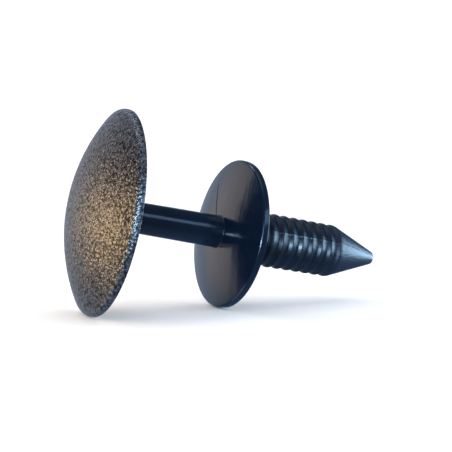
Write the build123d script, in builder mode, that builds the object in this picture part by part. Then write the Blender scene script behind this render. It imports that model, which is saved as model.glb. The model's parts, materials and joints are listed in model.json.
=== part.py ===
from build123d import *

import math
import os

# Push rivet with a domed trim head, a pad pin, a panel flange and a ribbed stem: one
# moulding in black plastic, in millimetres, with +Z up.  The rivet lies as it comes to
# rest, on the rim of its head and the rim of its flange, with its tip towards +X.
# Both sections are drawn in a plane that holds the pin line: the plane's X runs along the
# pin line from the head to the tip, its Y is the radius, and its origin is where the pin
# line crosses the flange's seating face.

os.makedirs("parts", exist_ok=True)

# ---- driving dimensions ----------------------------------------------------------------
head_radius = 15.0          # trim head, over its rim
head_land = 0.8             # straight wall of the head's rim
head_crown = 4.3            # rise of the dome above the rim
head_rim_round = 0.9        # rounding between the rim and the dome

pad_gap = 19.2              # clear length for the pad, from the head to the flange's rim
pin_radius_at_head = 2.25   # the pin is drafted, and thicker at the flange
pin_radius_at_flange = 2.5
pin_root_round = 0.5        # fillet where the pin leaves the head
pin_foot_round = 0.3        # fillet where the pin meets the flange

flange_radius = 11.5
flange_rim = 1.0            # thickness of the flange at its rim
flange_rise = 1.6           # swell of the flange's domed front, from its rim to the pin line
flange_front_round = 0.35

rear_round = 0.2            # break on the rear rims of the head and the flange

rib_radius = 4.3            # over the ribs
rib_depth = 0.42            # from the top of a rib down to its foot
rib_pitch = 1.8
rib_count = 9
rib_rise = 0.5              # length of the steep rear side, which grips the panel
rib_land = 0.15             # length of the flat top; the front side ramps down from there
rib_foot_round = 0.25
rib_rear_round = 0.15
rib_front_round = 0.4
collar_length = 1.6         # plain collar between the flange and the first ramp
collar_clearance = 0.05     # the collar stands this much proud of the ribs

tip_land = 0.15             # plain length between the last rib and the cone
tip_length = 8.95           # cone, from there to the blunt end
tip_radius = 1.05           # blunt end of the cone
tip_round = 0.35
tip_shoulder_round = 1.2    # rounding where the cone begins

# ---- sizes that follow -----------------------------------------------------------------
collar_radius = rib_radius + collar_clearance
foot_radius = rib_radius - rib_depth
rib_ramp = rib_pitch - rib_rise - rib_land      # length of the sloping front side
rib_feet = [collar_length + rib_ramp + rib * rib_pitch for rib in range(rib_count)]
ribs_end = collar_length + rib_count * rib_pitch
tip_start = ribs_end + tip_land
stem_length = tip_start + tip_length

flange_front = -flange_rim
flange_sphere_radius = (flange_radius**2 + flange_rise**2) / (2 * flange_rise)
flange_foot = (
    flange_front - flange_rise
    + flange_sphere_radius - math.sqrt(flange_sphere_radius**2 - pin_radius_at_flange**2)
)
head_back = flange_front - pad_gap
dome_start = head_back - head_land
crown = dome_start - head_crown
dome_sphere_radius = (head_radius**2 + head_crown**2) / (2 * head_crown)

# The floor touches two equal rounds, one on each rear rim, so it runs parallel to the line
# through their centres.
rest_tilt = math.atan2(head_radius - flange_radius, -head_back)
seat_height = (
    (flange_radius - rear_round) * math.cos(rest_tilt)
    - rear_round * math.sin(rest_tilt)
    + rear_round
)

# The head's sphere and the round at the tip reach furthest along X.
tip_slope = math.atan2(rib_radius - tip_radius, tip_length)
tip_round_centre = tip_radius + tip_round * (math.tan(tip_slope) - 1 / math.cos(tip_slope))
head_reach = dome_sphere_radius - (crown + dome_sphere_radius) * math.cos(rest_tilt)
tip_reach = (
    (stem_length - tip_round) * math.cos(rest_tilt)
    + tip_round_centre * math.sin(rest_tilt)
    + tip_round
)

along_pin = Vector(math.cos(rest_tilt), 0, -math.sin(rest_tilt))
seat_centre = Vector((head_reach - tip_reach) / 2, 0, seat_height)
pin_plane = Plane(origin=seat_centre, x_dir=along_pin, z_dir=(0, -1, 0))
pin_line = Axis(seat_centre, along_pin)


def corner(section, x, radius):
    """The corner of a section that stands at x along the pin line, at this radius."""
    return section.vertices().sort_by_distance((x, radius))[0]


with BuildPart() as push_rivet:
    # Domed trim head, pad pin and domed flange, turned about the pin line.
    with BuildSketch(pin_plane) as spool:
        with BuildLine():
            RadiusArc((crown, 0), (dome_start, head_radius), dome_sphere_radius)
            Polyline(
                (dome_start, head_radius),
                (head_back, head_radius),
                (head_back, pin_radius_at_head),
                (flange_foot, pin_radius_at_flange),
            )
            RadiusArc((flange_foot, pin_radius_at_flange), (flange_front, flange_radius),
                      flange_sphere_radius)
            Polyline((flange_front, flange_radius), (0, flange_radius), (0, 0), (crown, 0))
        make_face()
        fillet(corner(spool, dome_start, head_radius), head_rim_round)
        fillet(corner(spool, head_back, head_radius), rear_round)
        fillet(corner(spool, head_back, pin_radius_at_head), pin_root_round)
        fillet(corner(spool, flange_foot, pin_radius_at_flange), pin_foot_round)
        fillet(corner(spool, flange_front, flange_radius), flange_front_round)
        fillet(corner(spool, 0, flange_radius), rear_round)
    revolve(axis=pin_line)

    # Ribbed stem: a collar, then barbed ribs that are steep towards the flange and ramp down
    # towards the tip, then the lead-in cone.
    with BuildSketch(pin_plane) as stem:
        with BuildLine():
            Polyline((0, 0), (0, collar_radius), (collar_length, collar_radius),
                     (collar_length, rib_radius), (rib_feet[0], foot_radius))
            for foot in rib_feet[:-1]:
                Polyline((foot, foot_radius), (foot + rib_rise, rib_radius),
                         (foot + rib_rise + rib_land, rib_radius),
                         (foot + rib_pitch, foot_radius))
            Polyline((rib_feet[-1], foot_radius), (rib_feet[-1] + rib_rise, rib_radius),
                     (tip_start, rib_radius), (stem_length, tip_radius), (stem_length, 0), (0, 0))
        make_face()
        fillet([corner(stem, foot, foot_radius) for foot in rib_feet], rib_foot_round)
        fillet([corner(stem, foot + rib_rise, rib_radius) for foot in rib_feet], rib_rear_round)
        fillet([corner(stem, foot + rib_rise + rib_land, rib_radius) for foot in rib_feet[:-1]],
               rib_front_round)
        fillet(corner(stem, tip_start, rib_radius), tip_shoulder_round)
        fillet(corner(stem, stem_length, tip_radius), tip_round)
    revolve(axis=pin_line)

push_rivet.part.label = "push_rivet"
export_step(push_rivet.part, "parts/push_rivet.step")
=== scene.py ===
"""Dresses the push rivet: one moulding with a grained dome, a glossy pin and flange, a satin
ribbed stem and a frosted cone, on white paper under soft studio light."""
import json
import math

import bpy
from bpy.props import FloatProperty, IntProperty, PointerProperty, StringProperty
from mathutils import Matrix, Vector
from mathutils.geometry import delaunay_2d_cdt


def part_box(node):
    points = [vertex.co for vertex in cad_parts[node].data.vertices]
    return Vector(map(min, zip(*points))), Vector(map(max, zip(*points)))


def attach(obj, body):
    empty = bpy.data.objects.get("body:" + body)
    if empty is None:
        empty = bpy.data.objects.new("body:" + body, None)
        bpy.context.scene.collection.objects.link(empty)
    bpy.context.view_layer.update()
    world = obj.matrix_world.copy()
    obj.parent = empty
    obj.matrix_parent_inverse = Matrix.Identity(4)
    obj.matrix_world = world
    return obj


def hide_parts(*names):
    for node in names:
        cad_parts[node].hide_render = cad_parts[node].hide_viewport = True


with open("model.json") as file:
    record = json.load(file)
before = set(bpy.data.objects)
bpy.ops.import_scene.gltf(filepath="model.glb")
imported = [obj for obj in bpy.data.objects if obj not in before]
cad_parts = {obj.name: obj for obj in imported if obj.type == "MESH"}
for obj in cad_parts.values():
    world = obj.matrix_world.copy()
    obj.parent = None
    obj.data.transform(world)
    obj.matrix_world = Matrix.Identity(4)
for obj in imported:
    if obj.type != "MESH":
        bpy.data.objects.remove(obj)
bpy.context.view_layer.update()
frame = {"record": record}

bl_info = {
    "name": "Push rivet",
    "version": (1, 0, 0),
    "blender": (4, 5, 0),
    "location": "3D View > Sidebar > Push Rivet",
    "description": "Makes a moulded push rivet and the studio that it lies in",
    "category": "Object",
}

NODE = "push_rivet"
MM = 0.001


def mount(name):
    """A mount of the record, by its name."""
    return next(entry for entry in frame["record"]["mounts"] if entry["name"] == name)


# The pin line crosses the flange's seating face here, and runs from the head to the tip.
SEAT = Vector(mount("panel_stem")["pos_m"])
ALONG = Vector(mount("panel_stem")["axis"]).normalized()
BOX_LOW, BOX_HIGH = (Vector(end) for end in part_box(NODE))


def length(name, description, default):
    """A size of the moulding, in metres."""
    return FloatProperty(name=name, description=description, default=default, min=0.0,
                         unit="LENGTH", subtype="DISTANCE", precision=5)


def tint(name, description, default):
    """A colour as an sRGB hex code."""
    return StringProperty(name=name, description=description, default=default)


class RivetSizes(bpy.types.PropertyGroup):
    """Sizes of the moulding."""

    head_radius: length("Head radius", "Radius over the rim of the head",
                        (BOX_HIGH.y - BOX_LOW.y) / 2)
    head_land: length("Head land", "Straight wall of the head's rim", 0.8 * MM)
    head_crown: length("Head crown", "Rise of the dome above its rim", 4.3 * MM)
    head_rim_round: length("Head rim round", "Rounding from the rim to the dome", 0.9 * MM)
    pad_gap: length("Pad gap", "Clear length from the head to the flange",
                    mount("pad_pin")["dims"]["length_mm"] * MM)
    pin_radius_at_head: length("Pin radius at the head", "Thin end of the drafted pin", 2.25 * MM)
    pin_radius_at_flange: length("Pin radius at the flange", "Thick end of the drafted pin",
                                 mount("pad_pin")["dims"]["r_mm"] * MM)
    pin_root_round: length("Pin root round", "Fillet where the pin leaves the head", 0.5 * MM)
    pin_foot_round: length("Pin foot round", "Fillet where the pin meets the flange", 0.15 * MM)
    flange_radius: length("Flange radius", "Radius over the flange", 11.5 * MM)
    flange_rim: length("Flange rim", "Thickness of the flange at its rim", 1.0 * MM)
    flange_rise: length("Flange rise", "Swell of the flange's domed front", 1.6 * MM)
    flange_front_round: length("Flange front round", "Rounding of the front rim", 0.35 * MM)
    rear_round: length("Rear round", "Break on both rear rims", 0.1 * MM)
    rib_radius: length("Rib radius", "Radius over the ribs",
                       mount("panel_stem")["dims"]["r_mm"] * MM)
    rib_depth: length("Rib depth", "Depth from the top of a rib to its foot", 0.42 * MM)
    rib_pitch: length("Rib pitch", "Distance from rib to rib", 1.8 * MM)
    rib_count: IntProperty(name="Rib count", description="Number of ribs on the stem",
                           default=9, min=2)
    rib_rise: length("Rib rise", "Length of a rib's steep rear side", 0.5 * MM)
    rib_land: length("Rib land", "Length of a rib's flat top", 0.15 * MM)
    rib_foot_round: length("Rib foot round", "Rounding between two ribs", 0.25 * MM)
    rib_rear_round: length("Rib rear round", "Rounding over the steep side", 0.15 * MM)
    rib_front_round: length("Rib front round", "Rounding over the ramp", 0.4 * MM)
    collar_length: length("Collar length", "Plain collar behind the flange", 1.6 * MM)
    collar_clearance: length("Collar clearance", "How far the collar stands over the ribs",
                             0.05 * MM)
    tip_land: length("Tip land", "Plain length between the last rib and the cone", 0.15 * MM)
    tip_length: length("Tip length", "Length of the lead-in cone", 8.95 * MM)
    tip_radius: length("Tip radius", "Radius of the blunt end", 1.05 * MM)
    tip_round: length("Tip round", "Rounding of the blunt end", 0.35 * MM)
    tip_shoulder_round: length("Tip shoulder round", "Rounding from the last rib to the cone",
                               1.2 * MM)
    segments: IntProperty(name="Segments", description="Steps round the pin line",
                          default=240, min=24)
    cap_spacing: length("Cap spacing", "Side of a triangle on the dome", 0.165 * MM)


class RivetSurface(bpy.types.PropertyGroup):
    """Marks that the mould leaves, and the colours of the plastic."""

    grain_size: length("Grain size", "Width of a spark-eroded grain", 0.29 * MM)
    grain_depth: length("Grain depth", "Height of the coarse grain", 0.10 * MM)
    pit_size: length("Pit size", "Width of a pit between the grains", 0.40 * MM)
    pit_depth: length("Pit depth", "Depth of the pits", 0.06 * MM)
    swell_size: length("Swell size", "Width of the grain's real swells", 0.34 * MM)
    swell_depth: length("Swell depth", "Height of the grain's real swells", 0.03 * MM)
    seam_turn: FloatProperty(name="Seam turn",
                             description="Where the parting line runs on the stem",
                             default=math.radians(-70.5), subtype="ANGLE", unit="ROTATION")
    seam_height: length("Seam height", "Scale of the parting line's uneven height, which "
                        "averages about three quarters of it", 0.12 * MM)
    draw_depth: length("Draw depth", "Depth of the slow draws in the polished skin", 0.03 * MM)
    weld_depth: length("Weld depth", "Depth of the weld line on the flange", 0.08 * MM)
    weld_turn: FloatProperty(name="Weld turn", description="Where the weld line runs on the flange",
                             default=math.radians(25.5), subtype="ANGLE", unit="ROTATION")
    grained_colour: tint("Grained colour", "Plastic of the dome", "#222123")
    glossy_colour: tint("Glossy colour", "Plastic of the pin and the flange", "#060F1D")
    stem_colour: tint("Stem colour", "Plastic of the ribs", "#050F1B")
    cone_colour: tint("Cone colour", "Plastic of the cone, paler for its frosted skin", "#0C1826")


def sizes():
    """The sizes that the panel shows."""
    return bpy.context.scene.rivet_sizes


def surface():
    """The marks and colours that the panel shows."""
    return bpy.context.scene.rivet_surface


def node(tree, kind, inputs=(), **settings):
    """Adds a node, with its settings, and with values or links on its inputs."""
    made = tree.nodes.new(kind)
    for name, value in settings.items():
        setattr(made, name, value)
    for key, value in inputs.items() if isinstance(inputs, dict) else enumerate(inputs):
        if isinstance(value, bpy.types.NodeSocket):
            tree.links.new(value, made.inputs[key])
        else:
            made.inputs[key].default_value = value
    return made


def linear(code, strength=1.0):
    """An sRGB hex colour as linear red, green and blue, times a strength, and alpha."""
    parts = [int(code[i:i + 2], 16) / 255 for i in (1, 3, 5)]
    return [strength * (p / 12.92 if p <= 0.04045 else ((p + 0.055) / 1.055) ** 2.4)
            for p in parts] + [1.0]


# ---- section of the moulding -----------------------------------------------------------
def rounded_corner(before, corner, after, radius, steps):
    """Points of the arc that rounds a corner between two straight lines."""
    start, end = (before - corner).normalized(), (after - corner).normalized()
    half = start.angle(end) / 2
    middle = corner + (start + end).normalized() * (radius / math.sin(half))
    first = corner + start * (radius / math.tan(half)) - middle
    last = corner + end * (radius / math.tan(half)) - middle
    sweep = first.angle_signed(last)
    points = []
    for step in range(steps + 1):
        turn = -sweep * step / steps
        points.append(middle + Vector((
            first.x * math.cos(turn) - first.y * math.sin(turn),
            first.x * math.sin(turn) + first.y * math.cos(turn))))
    return points


def straight(start, end, steps):
    """Points strictly between two places, evenly spaced."""
    return [start.lerp(end, step / steps) for step in range(1, steps)]


def dome_edge(s):
    """The dome's sphere, its middle, the middle of the rim's rounding, and where they meet."""
    sphere = (s.head_radius ** 2 + s.head_crown ** 2) / (2 * s.head_crown)
    crown = -s.flange_rim - s.pad_gap - s.head_land - s.head_crown
    centre = Vector((crown + sphere, 0))
    height = s.head_radius - s.head_rim_round
    reach = math.sqrt((sphere - s.head_rim_round) ** 2 - height ** 2)
    return sphere, centre, Vector((centre.x - reach, height)), math.atan2(height, reach)


def swell(s, radius):
    """How far along the flange's domed front stands, and which way its outline runs there."""
    sphere = (s.flange_radius ** 2 + s.flange_rise ** 2) / (2 * s.flange_rise)
    reach = math.sqrt(sphere ** 2 - radius ** 2)
    return -s.flange_rim - s.flange_rise + sphere - reach, Vector((radius, reach)).normalized()


def rib_ramp(s):
    """Length of a rib's sloping front side."""
    return s.rib_pitch - s.rib_rise - s.rib_land


def rib_corners(s, rib):
    """Foot, rear top, front top and next foot of a rib, and the middle of the ramp before it."""
    foot = s.collar_length + rib_ramp(s) + rib * s.rib_pitch
    low, high = s.rib_radius - s.rib_depth, s.rib_radius
    return (Vector((foot - rib_ramp(s) / 2, (low + high) / 2)), Vector((foot, low)),
            Vector((foot + s.rib_rise, high)), Vector((foot + s.rib_rise + s.rib_land, high)),
            Vector((foot + s.rib_pitch, low)))


def rib_section(s):
    """One rib, from the middle of the ramp before it to the middle of its own ramp."""
    middle, foot, rear, front, after = rib_corners(s, 0)
    points = [middle]
    for arc, steps in ((rounded_corner(middle, foot, rear, s.rib_foot_round, 4), 3),
                       (rounded_corner(foot, rear, front, s.rib_rear_round, 2), 2),
                       (rounded_corner(rear, front, after, s.rib_front_round, 3), 1),
                       ([middle + Vector((s.rib_pitch, 0))], 3)):
        points += straight(points[-1], arc[0], steps) + arc
    return points


def rim_section(s):
    """From the dome's edge over the rim to the head's rear face."""
    _, _, middle, turn = dome_edge(s)
    steps = 9
    points = []
    for step in range(steps + 1):
        angle = turn + (math.pi / 2 - turn) * step / steps
        points.append(middle + s.head_rim_round * Vector((-math.cos(angle), math.sin(angle))))
    back = -s.flange_rim - s.pad_gap
    rear = rounded_corner(points[-1], Vector((back, s.head_radius)), Vector((back, 0)),
                          s.rear_round, 4)
    return points + straight(points[-1], rear[0], 3) + rear


def front_section(s):
    """From the head's rear face along the pin and over the flange to the first ramp."""
    back = -s.flange_rim - s.pad_gap
    collar = s.rib_radius + s.collar_clearance
    foot, foot_way = swell(s, s.pin_radius_at_flange)
    lip, lip_way = swell(s, s.flange_radius)
    foot, lip = Vector((foot, s.pin_radius_at_flange)), Vector((lip, s.flange_radius))
    root = Vector((back, s.pin_radius_at_head))
    seat = Vector((0, s.flange_radius))
    start = Vector((back, s.head_radius - s.rear_round))
    foot_arc = rounded_corner(root, foot, foot + foot_way, s.pin_foot_round, 5)
    steps = 20
    inner, outer = foot_arc[-1].y, s.flange_radius - s.flange_front_round
    pieces = [
        rounded_corner(start, root, foot, s.pin_root_round, 5),
        foot_arc,
        [Vector((swell(s, r)[0], r)) for r in
         (inner + (outer - inner) * (k + 1) / steps for k in range(steps))],
        rounded_corner(lip - lip_way, lip, seat, s.flange_front_round, 7)[1:],
        rounded_corner(lip, seat, Vector((0, collar)), s.rear_round, 4),
        [Vector((0, collar)), Vector((s.collar_length, collar)),
         Vector((s.collar_length, s.rib_radius)), rib_corners(s, 0)[0]],
    ]
    points = [start]
    for piece, line_steps in zip(pieces, (7, 8, 1, 1, 2, 6)):
        points += straight(points[-1], piece[0], line_steps) + piece
    return points


def cone_section(s):
    """From the ramp before the last rib, over it and the lead-in cone, to the end's middle."""
    middle, foot, rear, _, _ = rib_corners(s, s.rib_count - 1)
    start = Vector((s.collar_length + s.rib_count * s.rib_pitch + s.tip_land, s.rib_radius))
    corner = Vector((start.x + s.tip_length, s.tip_radius))
    end = Vector((corner.x, 0))
    points = [middle]
    for arc, steps in ((rounded_corner(middle, foot, rear, s.rib_foot_round, 4), 3),
                       (rounded_corner(foot, rear, start, s.rib_rear_round, 2), 2),
                       (rounded_corner(rear, start, corner, s.tip_shoulder_round, 4), 3),
                       (rounded_corner(start, corner, end, s.tip_round, 5), 34),
                       ([end], 3)):
        points += straight(points[-1], arc[0], steps) + arc
    return points


# Width at the dome's edge over which the grain's real swells die away.
GRAIN_FADE = 2.5 * MM
# For the triangles of the dome: keep those inside its border, and join points this close.
INSIDE_BORDER, JOIN_WITHIN = 1, 1e-9


def dome_cap(s):
    """Even triangles over the dome, whose border falls on the steps of the turned part."""
    sphere, centre, _, turn = dome_edge(s)
    border = sphere * math.sin(turn)
    around = [2 * math.pi * step / s.segments for step in range(s.segments)]
    points = [Vector((math.sin(a), math.cos(a))) * border for a in around]
    row_height = s.cap_spacing * math.sqrt(3) / 2
    rows = int(border / row_height) + 1
    for row in range(-rows, rows + 1):
        for column in range(-rows, rows + 1):
            spot = Vector(((column + (row % 2) / 2) * s.cap_spacing, row * row_height))
            if spot.length < border - s.cap_spacing:
                points.append(spot)
    edges = [(step, (step + 1) % s.segments) for step in range(s.segments)]
    flat, _, faces, _, _, _ = delaunay_2d_cdt(points, edges, [], INSIDE_BORDER, JOIN_WITHIN)
    spots = [Vector((centre.x - math.sqrt(sphere ** 2 - p.length_squared), p.x, p.y))
             for p in flat]
    shares = [min(1.0, (border - p.length) / GRAIN_FADE) for p in flat]
    return spots, [face[::-1] for face in faces], shares


ZONES = {"dome": 0, "smooth": 1, "ribs": 2, "cone": 3}


def start_mesh(s):
    """The dome's triangles and the sections that are turned, in the pin line's own frame."""
    spots, faces, shares = dome_cap(s)
    zones = [ZONES["dome"]] * len(spots)
    turned = [False] * len(spots)
    edges = []
    for zone, line in (("dome", rim_section(s)), ("smooth", front_section(s)),
                       ("ribs", rib_section(s)), ("cone", cone_section(s))):
        first = len(spots)
        spots += [Vector((p.x, 0, p.y)) for p in line]
        zones += [ZONES[zone]] * len(line)
        turned += [True] * len(line)
        shares += [0.0] * len(line)
        edges += [(i, i + 1) for i in range(first, len(spots) - 1)]
    mesh = bpy.data.meshes.new("rivet_start")
    mesh.from_pydata(spots, edges, faces)
    for name, kind, values in (
            ("zone", "FLOAT", zones), ("grain_share", "FLOAT", shares),
            ("turned", "BOOLEAN", turned), ("along", "FLOAT", [p.x for p in spots]),
            ("reach", "FLOAT", [p.z for p in spots])):
        mesh.attributes.new(name, kind, "POINT").data.foreach_set("value", values)
    return mesh


# ---- turned body, ribs and grain -------------------------------------------------------
# The parting line: how near its turn a step round the pin line lies to stand out as part of it,
# where it starts along the pin line, the radius under which it is left off, the length of a torn
# bit, and the gain that brings the square of the noise, which is near 0.25, up towards the
# seam's height. One of 240 steps lies on it. Of 160, 120, 96, 48 or 24 none lies near enough,
# and the line is then left out.
SEAM_NEAR = math.radians(0.6)
SEAM_START = 0.5 * MM
SEAM_LEAST_RADIUS = 1.0 * MM
TORN_LENGTH = 0.7 * MM
TORN_GAIN = 3.0
# Most of a noise pattern lies within a quarter of its middle, and this gain makes that 1.
NOISE_MIDDLE, SWELL_GAIN = 0.5, 4.0
MERGE_WITHIN = 0.004 * MM
# How far off a zone's number may be.
ZONE_MARGIN = 0.5
SEED = 7


def moulding_tree():
    """Draws the ribs, turns the sections about the pin line, joins the dome and grains it."""
    tree = bpy.data.node_groups.new("turned_moulding", "GeometryNodeTree")
    face = tree.interface
    for kind, names in (
            ("NodeSocketGeometry", ("Geometry",)),
            ("NodeSocketInt", ("Segments", "Rib count", "Seed")),
            ("NodeSocketFloat", ("Rib pitch", "Swell size", "Swell depth", "Seam turn",
                                 "Seam height")),
            ("NodeSocketVector", ("Seat", "Tilt")),
            ("NodeSocketMaterial", ("Dome", "Smooth", "Ribs", "Cone"))):
        for name in names:
            face.new_socket(name, in_out="INPUT", socket_type=kind)
    face.new_socket("Geometry", in_out="OUTPUT", socket_type="NodeSocketGeometry")
    given = node(tree, "NodeGroupInput").outputs
    index = node(tree, "GeometryNodeInputIndex").outputs[0]
    read = {name: node(tree, "GeometryNodeInputNamedAttribute", {"Name": name},
                       data_type="BOOLEAN" if name == "turned" else "FLOAT").outputs[0]
            for name in ("zone", "along", "reach", "turn", "turned", "grain_share")}

    def figure(operation, *values):
        """A value worked out from others."""
        return node(tree, "ShaderNodeMath", values, operation=operation).outputs[0]

    def keep(geometry, name, value):
        """The geometry, with a value stored on it under a name."""
        return node(tree, "GeometryNodeStoreNamedAttribute",
                    {"Geometry": geometry, "Name": name, "Value": value},
                    data_type="FLOAT").outputs[0]

    # One rib's outline is repeated along the stem, up to the last rib, which has the cone.
    parted = node(tree, "GeometryNodeSeparateGeometry",
                  {"Geometry": given["Geometry"], "Selection": read["turned"]}, domain="POINT")
    curves = node(tree, "GeometryNodeMeshToCurve", {"Mesh": parted.outputs["Selection"]}).outputs[0]
    is_rib = figure("COMPARE", read["zone"], float(ZONES["ribs"]), ZONE_MARGIN)
    split = node(tree, "GeometryNodeSeparateGeometry",
                 {"Geometry": curves, "Selection": is_rib}, domain="CURVE")
    row = node(tree, "GeometryNodeDuplicateElements",
               {"Geometry": split.outputs["Selection"],
                "Amount": figure("SUBTRACT", given["Rib count"], 1.0)}, domain="SPLINE")
    shift = figure("MULTIPLY", row.outputs["Duplicate Index"], given["Rib pitch"])
    ribs = keep(row.outputs["Geometry"], "along", figure("ADD", read["along"], shift))
    sections = node(tree, "GeometryNodeJoinGeometry")
    for part in (ribs, split.outputs["Inverted"]):
        tree.links.new(part, sections.inputs[0])

    # The sections go round the pin line.
    ring = node(tree, "GeometryNodeCurvePrimitiveCircle",
                {"Resolution": given["Segments"]}).outputs[0]
    full_turn = figure("MULTIPLY", figure("DIVIDE", index, given["Segments"]), 2 * math.pi)
    ring = keep(ring, "turn", figure("WRAP", full_turn, math.pi, -math.pi))
    skin = node(tree, "GeometryNodeCurveToMesh",
                {"Curve": ring, "Profile Curve": sections.outputs[0]}).outputs[0]

    # The parting line stands out along the stem, unevenly, as flash breaks off it.
    on_seam = figure("COMPARE", read["turn"], given["Seam turn"], SEAM_NEAR)
    on_stem = figure("MULTIPLY", figure("GREATER_THAN", read["along"], SEAM_START),
                     figure("GREATER_THAN", read["reach"], SEAM_LEAST_RADIUS))
    torn = node(tree, "ShaderNodeTexNoise",
                {"W": figure("ADD", read["along"], given["Seed"]), "Scale": 1 / TORN_LENGTH,
                 "Detail": 2.0}, noise_dimensions="1D").outputs[0]
    uneven = figure("MULTIPLY", figure("MULTIPLY", torn, torn),
                    figure("MULTIPLY", given["Seam height"], TORN_GAIN))
    ridge = figure("MULTIPLY", figure("MULTIPLY", on_seam, on_stem), uneven)
    radius = figure("ADD", read["reach"], ridge)
    spot = node(tree, "ShaderNodeCombineXYZ", (
        read["along"],
        figure("MULTIPLY", radius, figure("SINE", read["turn"])),
        figure("MULTIPLY", radius, figure("COSINE", read["turn"])))).outputs[0]
    skin = node(tree, "GeometryNodeSetPosition", {"Geometry": skin, "Position": spot}).outputs[0]

    # The dome joins it, and the grain pushes its skin in and out.
    whole = node(tree, "GeometryNodeJoinGeometry")
    for part in (skin, parted.outputs["Inverted"]):
        tree.links.new(part, whole.inputs[0])
    merged = node(tree, "GeometryNodeMergeByDistance",
                  {"Geometry": whole.outputs[0], "Distance": MERGE_WITHIN}).outputs[0]
    grain = node(tree, "ShaderNodeTexNoise",
                 {"W": given["Seed"], "Scale": figure("DIVIDE", 1.0, given["Swell size"]),
                  "Detail": 1.0, "Roughness": 0.5}, noise_dimensions="4D").outputs[0]
    rise = figure("MULTIPLY", figure("SUBTRACT", grain, NOISE_MIDDLE),
                  figure("MULTIPLY", given["Swell depth"], SWELL_GAIN))
    outwards = node(tree, "GeometryNodeInputNormal").outputs[0]
    push = node(tree, "ShaderNodeVectorMath",
                {0: outwards, "Scale": figure("MULTIPLY", rise, read["grain_share"])},
                operation="SCALE").outputs[0]
    grained = node(tree, "GeometryNodeSetPosition", {"Geometry": merged, "Offset": push}).outputs[0]
    laid = node(tree, "GeometryNodeTransform",
                {"Geometry": grained, "Translation": given["Seat"],
                 "Rotation": given["Tilt"]}).outputs[0]
    smooth = node(tree, "GeometryNodeSetShadeSmooth", {"Geometry": laid}).outputs[0]
    result = node(tree, "GeometryNodeRealizeInstances", {"Geometry": smooth}).outputs[0]
    for name in ("Dome", "Smooth", "Ribs", "Cone"):
        chosen = figure("COMPARE", read["zone"], float(ZONES[name.lower()]), ZONE_MARGIN)
        result = node(tree, "GeometryNodeSetMaterial",
                      {"Geometry": result, "Selection": chosen, "Material": given[name]}).outputs[0]
    node(tree, "NodeGroupOutput", {"Geometry": result})
    return tree


# ---- plastics ----------------------------------------------------------------------------
PLASTIC_IOR = 1.53
WHOLE = (0.0, 1.0)
# The values that most of a noise pattern has.
MOST_NOISE = (0.3, 0.7)
# Depth of the slight ripple that a mould's skin leaves.
RIPPLE_DEPTH = 0.02 * MM

# Radii between which the rim's extra shine, a painted sheen, comes in, and how many times shinier
# it gets.
SHEEN_RIM_RADII = (14.3 * MM, 14.8 * MM)
SHEEN_RIM_GAIN = (1.0, 2.6)

# The weld line's middle and half its length, along the pin line and out from it, and the
# distances from its middle line where it begins to close and where it has closed.
WELD_ALONG = (-1.9 * MM, 1.2 * MM)
WELD_OUT = (5.5 * MM, 3.1 * MM)
WELD_EDGE = (0.08 * MM, 0.20 * MM)

# Places along X between which the cone gets shinier, towards its tip, a painted highlight.
CONE_SHEEN_SPAN = (16 * MM, 26 * MM)


def plastic(name):
    """A new material with its shader, and the place on the piece as the pattern's coordinates."""
    material = bpy.data.materials.new(name)
    material.use_nodes = True
    tree = material.node_tree
    shader = tree.nodes["Principled BSDF"]
    shader.inputs["IOR"].default_value = PLASTIC_IOR
    place = node(tree, "ShaderNodeTexCoord").outputs["Object"]
    return material, tree, shader, place


def noise(tree, place, size, detail, **inputs):
    """A noise pattern, whose blobs are about this wide."""
    return node(tree, "ShaderNodeTexNoise",
                {"Vector": place, "Scale": 1 / size, "Detail": detail, **inputs}).outputs[0]


def spread(tree, value, old, new):
    """A value, carried from one range to another and kept inside it."""
    return node(tree, "ShaderNodeMapRange",
                {"Value": value, "From Min": old[0], "From Max": old[1],
                 "To Min": new[0], "To Max": new[1]}).outputs[0]


def bump(tree, height, depth, under=None, invert=False):
    """A pattern that seems to stand out, or in, by a depth, on top of another bump."""
    inputs = {"Strength": 1.0, "Distance": depth, "Height": height}
    if under is not None:
        inputs["Normal"] = under
    return node(tree, "ShaderNodeBump", inputs, invert=invert).outputs[0]


def times(tree, first, second):
    """Two values multiplied."""
    return node(tree, "ShaderNodeMath", (first, second), operation="MULTIPLY").outputs[0]


def from_seat(tree, place):
    """The place on the piece, from where the pin line crosses the flange's seating face."""
    return node(tree, "ShaderNodeVectorMath", (place, SEAT), operation="SUBTRACT").outputs[0]


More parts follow.
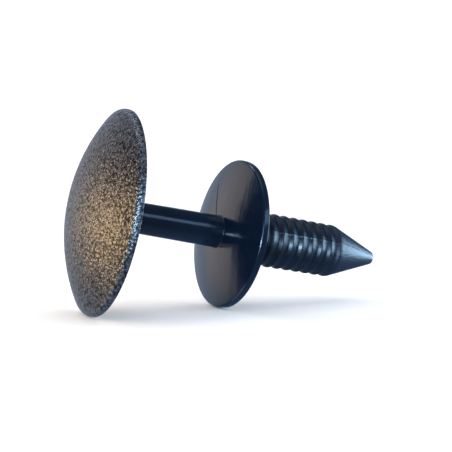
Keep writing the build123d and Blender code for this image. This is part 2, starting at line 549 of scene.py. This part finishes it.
def spark_eroded_black_plastic():
    """Coarse spark-eroded grain, whose grains glint towards a light, with painted shade in its
    hollows and a painted sheen on its rim.
    """
    material, tree, shader, place = plastic("spark_eroded_black_plastic")
    marks = surface()
    grains = noise(tree, place, marks.grain_size, 2.0, Roughness=0.6)
    pits = node(tree, "ShaderNodeTexVoronoi",
                {"Vector": place, "Scale": 1 / marks.pit_size, "Randomness": 1.0},
                feature="F1").outputs["Distance"]
    # Painted shade and light in the base colour: dark hollows, which the room hardly reaches,
    # between slightly paler grain tops.
    cavity_shade = node(tree, "ShaderNodeMath", (grains, pits), operation="SUBTRACT").outputs[0]
    tone = spread(tree, cavity_shade, (0.28, -0.26), WHOLE)
    top, hollow = linear(marks.grained_colour, 2.05), linear(marks.grained_colour, 0.18)
    colour = node(tree, "ShaderNodeMix", {0: tone, 6: top, 7: hollow},
                  data_type="RGBA").outputs[2]
    tree.links.new(colour, shader.inputs["Base Color"])
    # The reflection is weakened in the hollows, painted shade, and made stronger on the rounded
    # rim, a painted sheen, so the rim is shinier than the dome.
    off_line = node(tree, "ShaderNodeVectorMath", (from_seat(tree, place), ALONG),
                    operation="CROSS_PRODUCT").outputs[0]
    reach = node(tree, "ShaderNodeVectorMath", (off_line,), operation="LENGTH").outputs["Value"]
    shade_and_sheen = times(tree, spread(tree, tone, WHOLE, (0.76, 0.13)),
                  spread(tree, reach, SHEEN_RIM_RADII, SHEEN_RIM_GAIN))
    tree.links.new(shade_and_sheen, shader.inputs["Specular IOR Level"])
    rough = spread(tree, grains, MOST_NOISE, (0.18, 0.34))
    tree.links.new(rough, shader.inputs["Roughness"])
    coarse = bump(tree, grains, marks.grain_depth)
    fine = bump(tree, pits, marks.pit_depth, under=coarse, invert=True)
    tree.links.new(fine, shader.inputs["Normal"])
    return material


def polished_mould_black_plastic():
    """Gloss from a polished mould: slow draws in the skin, and the thin weld line on the flange."""
    material, tree, shader, place = plastic("polished_mould_black_plastic")
    marks = surface()
    shader.inputs["Base Color"].default_value = linear(marks.glossy_colour)
    cloud = noise(tree, place, 2.5 * MM, 3.0)
    tree.links.new(spread(tree, cloud, MOST_NOISE, (0.12, 0.20)), shader.inputs["Roughness"])
    ripple = bump(tree, cloud, RIPPLE_DEPTH)
    stretched = node(tree, "ShaderNodeMapping",
                     {"Vector": place, "Scale": (1.0, 1.0, 0.25)}).outputs[0]
    draws = noise(tree, stretched, 1.6 * MM, 2.0)
    drawn = bump(tree, draws, marks.draw_depth, under=ripple)
    # The weld line runs out over the flange's front, straight from the pin.
    upward, turn = Vector((-ALONG.z, 0, ALONG.x)), marks.weld_turn
    outward = upward * math.cos(turn) + Vector((0, math.sin(turn), 0))
    inside = from_seat(tree, place)
    along, out, across = (
        node(tree, "ShaderNodeVectorMath", (inside, way), operation="DOT_PRODUCT").outputs["Value"]
        for way in (ALONG, outward, ALONG.cross(outward)))
    off_line = node(tree, "ShaderNodeMath", (across,), operation="ABSOLUTE").outputs[0]
    dip = spread(tree, off_line, WELD_EDGE, (1.0, 0.0))
    for distance, part in ((along, WELD_ALONG), (out, WELD_OUT)):
        within = node(tree, "ShaderNodeMath", (distance, *part), operation="COMPARE").outputs[0]
        dip = times(tree, dip, within)
    weld = bump(tree, dip, marks.weld_depth, under=drawn, invert=True)
    tree.links.new(weld, shader.inputs["Normal"])
    tree.links.new(spread(tree, dip, WHOLE, (0.5, 0.1)), shader.inputs["Specular IOR Level"])
    return material


def ribbed_black_plastic():
    """Satin gloss of the ribs, uneven from the mould's skin."""
    material, tree, shader, place = plastic("ribbed_black_plastic")
    shader.inputs["Base Color"].default_value = linear(surface().stem_colour)
    shader.inputs["Specular IOR Level"].default_value = 0.4
    cloud = noise(tree, place, 0.8 * MM, 3.0)
    tree.links.new(spread(tree, cloud, MOST_NOISE, (0.26, 0.40)), shader.inputs["Roughness"])
    tree.links.new(bump(tree, cloud, RIPPLE_DEPTH), shader.inputs["Normal"])
    return material


def fine_eroded_black_plastic():
    """Fine spark-eroded satin of the cone, shinier towards the tip as a painted highlight, with
    scuffs along it.
    """
    material, tree, shader, place = plastic("fine_eroded_black_plastic")
    shader.inputs["Base Color"].default_value = linear(surface().cone_colour)
    along = node(tree, "ShaderNodeSeparateXYZ", (place,)).outputs["X"]
    # Painted highlight: the cone reflects more strongly towards its tip.
    tip_sheen = spread(tree, along, CONE_SHEEN_SPAN, (0.30, 1.25))
    tree.links.new(tip_sheen, shader.inputs["Specular IOR Level"])
    dust = noise(tree, place, 0.18 * MM, 2.0)
    tree.links.new(spread(tree, dust, MOST_NOISE, (0.30, 0.46)), shader.inputs["Roughness"])
    drawn = node(tree, "ShaderNodeMapping",
                 {"Vector": place, "Scale": (0.22, 1.0, 1.0)}).outputs[0]
    scuffed = bump(tree, noise(tree, drawn, 0.30 * MM, 3.0), 0.05 * MM)
    frost = bump(tree, dust, RIPPLE_DEPTH, under=scuffed)
    tree.links.new(frost, shader.inputs["Normal"])
    return material


def white_paper():
    """Matt white paper under the rivet."""
    material, tree, shader, place = plastic("matt_white_paper")
    fibres = noise(tree, place, 1.5 * MM, 4.0)
    colour = node(tree, "ShaderNodeMix", {0: fibres, 6: linear("#F2F2F2"), 7: linear("#F8F8F8")},
                  data_type="RGBA").outputs[2]
    tree.links.new(colour, shader.inputs["Base Color"])
    shader.inputs["Roughness"].default_value = 0.9
    return material


class RIVET_OT_moulding(bpy.types.Operator):
    """Make the one-piece rivet, from the grained dome to the blunt tip"""

    bl_idname = "rivet.moulding"
    bl_label = "Rivet moulding"

    def execute(self, context):
        s, marks = sizes(), surface()
        start = bpy.data.objects.new("rivet_start", start_mesh(s))
        context.scene.collection.objects.link(start)
        tree = moulding_tree()
        modifier = start.modifiers.new("turned_moulding", "NODES")
        modifier.node_group = tree
        values = {
            "Segments": s.segments, "Rib count": s.rib_count, "Seed": SEED,
            "Rib pitch": s.rib_pitch, "Swell size": marks.swell_size,
            "Swell depth": marks.swell_depth, "Seam turn": marks.seam_turn,
            "Seam height": marks.seam_height, "Seat": SEAT,
            "Tilt": Vector((0, math.atan2(-ALONG.z, ALONG.x), 0)),
            "Dome": spark_eroded_black_plastic(), "Smooth": polished_mould_black_plastic(),
            "Ribs": ribbed_black_plastic(), "Cone": fine_eroded_black_plastic(),
        }
        for item in tree.interface.items_tree:
            if item.in_out == "INPUT" and item.name in values:
                modifier[item.identifier] = values[item.name]
        evaluated = start.evaluated_get(context.evaluated_depsgraph_get())
        finished = bpy.data.meshes.new_from_object(evaluated)
        piece = bpy.data.objects.new("push_rivet_moulding", finished)
        context.scene.collection.objects.link(piece)
        bpy.data.objects.remove(start)
        if len(finished.polygons) < s.segments * s.rib_count:
            raise RuntimeError("the moulding came out without its turned part")
        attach(piece, "root")
        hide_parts(NODE)
        return {"FINISHED"}


# ---- studio --------------------------------------------------------------------------------
def toward(turn, rise):
    """A direction: turned from -X towards +Y by one angle, and raised by the other."""
    turn, rise = math.radians(turn), math.radians(rise)
    return Vector((-math.cos(turn) * math.cos(rise), math.sin(turn) * math.cos(rise),
                   math.sin(rise)))


# What the plastic mirrors: a dim blue room with soft glows, each with its name, direction,
# colour, strength, and the angles from its middle where it is full and where it has gone.
ROOM = ("#7CB0E0", 0.26)
GLOWS = (
    ("table_below", (0, -85), "#90BEFF", 0.42, 20, 60),
    ("window_skirt", (-164, -12), "#A0D0FF", 0.56, 6, 28),
    ("back_wall", (94, 6), "#D2E4FF", 0.74, 20, 46),
    ("back_wall_lit", (55, 10), "#FFF6F4", 1.12, 4, 28),
    ("dark_room", (-13, 13), "#72A4E0", 0.26, 59.5, 62),
    ("left_side", (-66, 5), "#8CC2F4", 7.0, 4, 25),
    ("ceiling", (0, 90), "#D8EAFF", 1.00, 8, 30),
)
# Lamps: name, direction, distance and size in mm, colour, and brightness, which stays the same
# when the lamp's size changes.
LAMPS = (
    ("warm_lamp", (22, 4), 260, (120, 118), "#FFD498", 13.2),
    ("low_fill", (22, -34), 260, (120, 70), "#FFF0E0", 2.6),
    ("high_lamp", (66, 56), 260, (44, 44), "#DCE8FF", 11.0),
    ("cool_window", (-168, 1), 300, (300, 128), "#B4DCFF", 9.0),
    ("pin_strip", (-120, 22), 320, (200, 100), "#A8CCFF", 2.6),
    ("flash", (-48, 0), 260, (50, 38), "#B8DCFF", 88.0),
)
# What every other ray sees: the light on the paper, and the white behind it.
PAPER_LIGHT = ("#FFFFFF", 1.22)
# Half the side of the paper, in metres, so wide that its edge doesn't show.
PAPER_HALF = 6.0

# The lamps point at AIM. The camera stands at a place and looks along a direction.
AIM = Vector((0, 0, 12)) * MM
CAMERA_PLACE = Vector((-52.299, -102.550, 15.948)) * MM
CAMERA_LOOK = Vector((0.44285588, 0.89610161, -0.02967443)).normalized()
CAMERA_SENSOR, CAMERA_LENS = 36, 58.94
CAMERA_NEAR = 0.005


def lay_paper(scene):
    """White paper on the floor, under the rivet."""
    half = PAPER_HALF
    mesh = bpy.data.meshes.new("paper")
    mesh.from_pydata([(-half, -half, 0), (half, -half, 0), (half, half, 0), (-half, half, 0)],
                     [], [(0, 1, 2, 3)])
    mesh.materials.append(white_paper())
    paper = bpy.data.objects.new("paper", mesh)
    scene.collection.objects.link(paper)
    # The plastic mirrors the room and not the paper, and no lamp is cut off by it.
    paper.visible_glossy = False
    paper.visible_shadow = False


def light_room(scene):
    """The world: the glows for mirrored rays, and the paper's light for all others."""
    world = bpy.data.worlds.new("studio")
    scene.world = world
    world.use_nodes = True
    tree = world.node_tree
    tree.nodes.clear()
    gaze = node(tree, "ShaderNodeTexCoord").outputs["Generated"]
    glow = linear(*ROOM)
    for _, centre, colour, strength, inner, outer in GLOWS:
        lined = node(tree, "ShaderNodeVectorMath", (gaze, toward(*centre)),
                     operation="DOT_PRODUCT").outputs["Value"]
        share = node(tree, "ShaderNodeMapRange",
                     {"Value": lined, "From Min": math.cos(math.radians(outer)),
                      "From Max": math.cos(math.radians(inner))},
                     interpolation_type="SMOOTHSTEP").outputs[0]
        glow = node(tree, "ShaderNodeMix", {0: share, 6: glow, 7: linear(colour, strength)},
                    data_type="RGBA").outputs[2]
    mirrored = node(tree, "ShaderNodeLightPath").outputs["Is Glossy Ray"]
    light = node(tree, "ShaderNodeMix", {0: mirrored, 6: linear(*PAPER_LIGHT), 7: glow},
                 data_type="RGBA").outputs[2]
    background = node(tree, "ShaderNodeBackground", {"Color": light}).outputs[0]
    node(tree, "ShaderNodeOutputWorld", {"Surface": background})


def hang_lamps(scene):
    """Flat lamps round the rivet, which all point at it."""
    for name, way, distance, size, colour, brightness in LAMPS:
        data = bpy.data.lights.new(name, "AREA")
        data.shape = "RECTANGLE"
        data.size, data.size_y = (v * MM for v in size)
        data.color = linear(colour)[:3]
        data.energy = brightness * math.pi * data.size * data.size_y
        lamp = bpy.data.objects.new(name, data)
        scene.collection.objects.link(lamp)
        spot = AIM + toward(*way) * distance * MM
        lamp.location = spot
        lamp.rotation_euler = (spot - AIM).to_track_quat("Z", "Y").to_euler()


def set_camera(scene):
    """The camera, in front of the rivet and on the side of its head."""
    data = bpy.data.cameras.new("camera")
    data.sensor_width, data.lens = CAMERA_SENSOR, CAMERA_LENS
    data.clip_start = CAMERA_NEAR
    camera = bpy.data.objects.new("camera", data)
    scene.collection.objects.link(camera)
    camera.location = CAMERA_PLACE
    camera.rotation_euler = CAMERA_LOOK.to_track_quat("-Z", "Y").to_euler()
    scene.camera = camera


class RIVET_OT_studio(bpy.types.Operator):
    """Make the paper, the room, the lamps and the camera"""

    bl_idname = "rivet.studio"
    bl_label = "Studio"

    def execute(self, context):
        lay_paper(context.scene)
        light_room(context.scene)
        hang_lamps(context.scene)
        set_camera(context.scene)
        context.scene.view_settings.view_transform = "Standard"
        return {"FINISHED"}


class RIVET_PT_panel(bpy.types.Panel):
    """Lists the sizes and the steps"""

    bl_idname = "RIVET_PT_panel"
    bl_label = "Push rivet"
    bl_space_type = "VIEW_3D"
    bl_region_type = "UI"
    bl_category = "Push Rivet"

    def draw(self, context):
        for group in (context.scene.rivet_sizes, context.scene.rivet_surface):
            for name in group.__annotations__:
                self.layout.prop(group, name)
        for step in (RIVET_OT_moulding, RIVET_OT_studio):
            self.layout.operator(step.bl_idname)


CLASSES = (RivetSizes, RivetSurface, RIVET_OT_moulding, RIVET_OT_studio, RIVET_PT_panel)


def register():
    for cls in CLASSES:
        bpy.utils.register_class(cls)
    bpy.types.Scene.rivet_sizes = PointerProperty(type=RivetSizes)
    bpy.types.Scene.rivet_surface = PointerProperty(type=RivetSurface)


def unregister():
    del bpy.types.Scene.rivet_surface
    del bpy.types.Scene.rivet_sizes
    for cls in reversed(CLASSES):
        bpy.utils.unregister_class(cls)


def main():
    register()
    bpy.ops.rivet.moulding()
    bpy.ops.rivet.studio()


if __name__ == "__main__":
    main()
